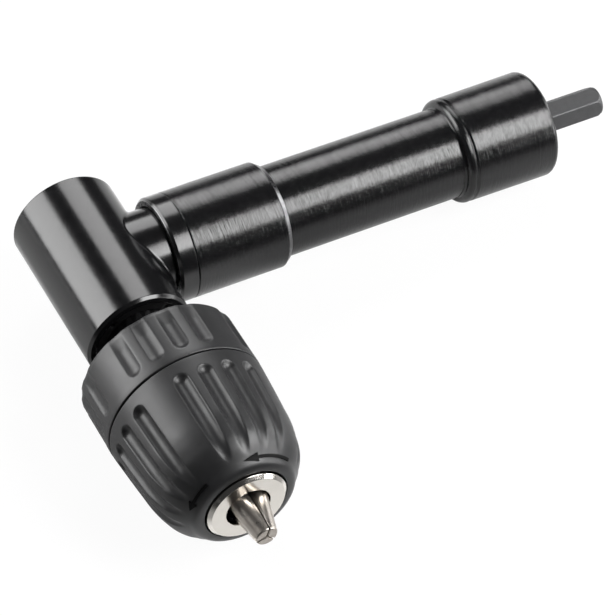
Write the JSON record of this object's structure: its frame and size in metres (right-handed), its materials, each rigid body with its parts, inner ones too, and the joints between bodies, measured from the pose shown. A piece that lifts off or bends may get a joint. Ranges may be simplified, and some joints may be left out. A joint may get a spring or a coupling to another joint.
{
  "type": "right angle drill adapter",
  "caption": "Right angle drill adapter: black turned handle with a hexagonal drive shank, head with bevel gears, and a keyless chuck square to the handle.",
  "frame": {"origin": "middle of the head's closed end, on the chuck's axis", "axes": "+X along the handle towards the hexagonal shank, -Y along the chuck towards its nose, +Z square to both"},
  "size_m": [0.1732, 0.117, 0.0436],
  "materials": {
    "black_paint": "gloss black enamel over fine turning marks",
    "sleeve_plastic": "satin moulded glass-filled nylon",
    "nickel_plate": "bright nickel plate",
    "ground_steel": "ground steel",
    "dark_steel": "black oxide steel",
    "bearing_steel": "polished bearing steel",
    "bronze": "sintered bronze",
    "seal_rubber": "moulded rubber"
  },
  "bodies": {
    "housing": {"head_housing": "black_paint", "lock_collar": "black_paint", "handle_body": "black_paint", "spindle_bearing_outer_race": "bearing_steel", "shaft_bearing_outer_race": "bearing_steel", "bearing_retainer": "dark_steel", "bearing_circlip": "dark_steel", "rear_dust_cover": "seal_rubber", "spindle_upper_bush": "bronze", "shaft_front_bush": "bronze", "pinion_thrust_washer": "bronze", "shaft_thrust_washer": "bronze"},
    "input": {"input_shaft": "dark_steel", "bevel_pinion": "ground_steel", "bevel_pinion_pin": "ground_steel", "shaft_bearing_inner_race": "bearing_steel", "shaft_circlip": "dark_steel"},
    "spindle": {"output_spindle": "ground_steel", "bevel_gear": "ground_steel", "bevel_gear_pin": "ground_steel", "spindle_bearing_inner_race": "bearing_steel", "chuck_body": "dark_steel", "chuck_rear_sleeve": "sleeve_plastic", "nose_plate": "nickel_plate", "chuck_screw": "dark_steel", "rear_thrust_race": "bearing_steel"},
    "sleeve": {"chuck_front_sleeve": "sleeve_plastic", "jaw_nut": "ground_steel", "nut_band": "ground_steel"},
    "thrust_cage": {"thrust_ball_cage": "bearing_steel"},
    "spindle_balls": {"spindle_bearing_ball_cage": "bearing_steel"},
    "shaft_balls": {"shaft_bearing_ball_cage": "bearing_steel"},
    "jaw_1": {"chuck_jaw_1": "nickel_plate"},
    "jaw_2": {"chuck_jaw_2": "nickel_plate"},
    "jaw_3": {"chuck_jaw_3": "nickel_plate"}
  },
  "joints": [
    {"name": "spindle_spin", "type": "hinge", "parent": "housing", "child": "spindle", "pos_m": [0, -0.0213, 0], "axis": [0, -1, 0], "continuous": true},
    {"name": "input_spin", "type": "hinge", "parent": "housing", "child": "input", "pos_m": [0, -0.0213, 0], "axis": [1, 0, 0], "continuous": true},
    {"name": "spindle_balls_roll", "type": "hinge", "parent": "housing", "child": "spindle_balls", "pos_m": [0, -0.0213, 0], "axis": [0, -1, 0], "continuous": true},
    {"name": "shaft_balls_roll", "type": "hinge", "parent": "housing", "child": "shaft_balls", "pos_m": [0, -0.0213, 0], "axis": [1, 0, 0], "continuous": true},
    {"name": "sleeve_turn", "type": "hinge", "parent": "spindle", "child": "sleeve", "pos_m": [0, -0.0213, 0], "axis": [0, -1, 0], "range_deg": [0, 2781.9]},
    {"name": "thrust_cage_roll", "type": "hinge", "parent": "spindle", "child": "thrust_cage", "pos_m": [0, -0.0213, 0], "axis": [0, -1, 0], "range_deg": [0, 1391]},
    {"name": "jaw_1_slide", "type": "slide", "parent": "spindle", "child": "jaw_1", "axis": [-0.1893, 0.9659, 0.1765], "range_m": [0, 0.01933]},
    {"name": "jaw_2_slide", "type": "slide", "parent": "spindle", "child": "jaw_2", "axis": [-0.0582, 0.9659, -0.2522], "range_m": [0, 0.01933]},
    {"name": "jaw_3_slide", "type": "slide", "parent": "spindle", "child": "jaw_3", "axis": [0.2475, 0.9659, 0.0757], "range_m": [0, 0.01933]}
  ],
  "couplings": [
    {"joint": "input_spin", "follows": "spindle_spin", "ratio": -1},
    {"joint": "spindle_balls_roll", "follows": "spindle_spin", "ratio": 0.4111},
    {"joint": "shaft_balls_roll", "follows": "spindle_spin", "ratio": -0.4031},
    {"joint": "thrust_cage_roll", "follows": "sleeve_turn", "ratio": 0.5},
    {"joint": "jaw_1_slide", "follows": "sleeve_turn", "m_per_rad": 0.00039789},
    {"joint": "jaw_2_slide", "follows": "sleeve_turn", "m_per_rad": 0.00039789},
    {"joint": "jaw_3_slide", "follows": "sleeve_turn", "m_per_rad": 0.00039789}
  ]
}
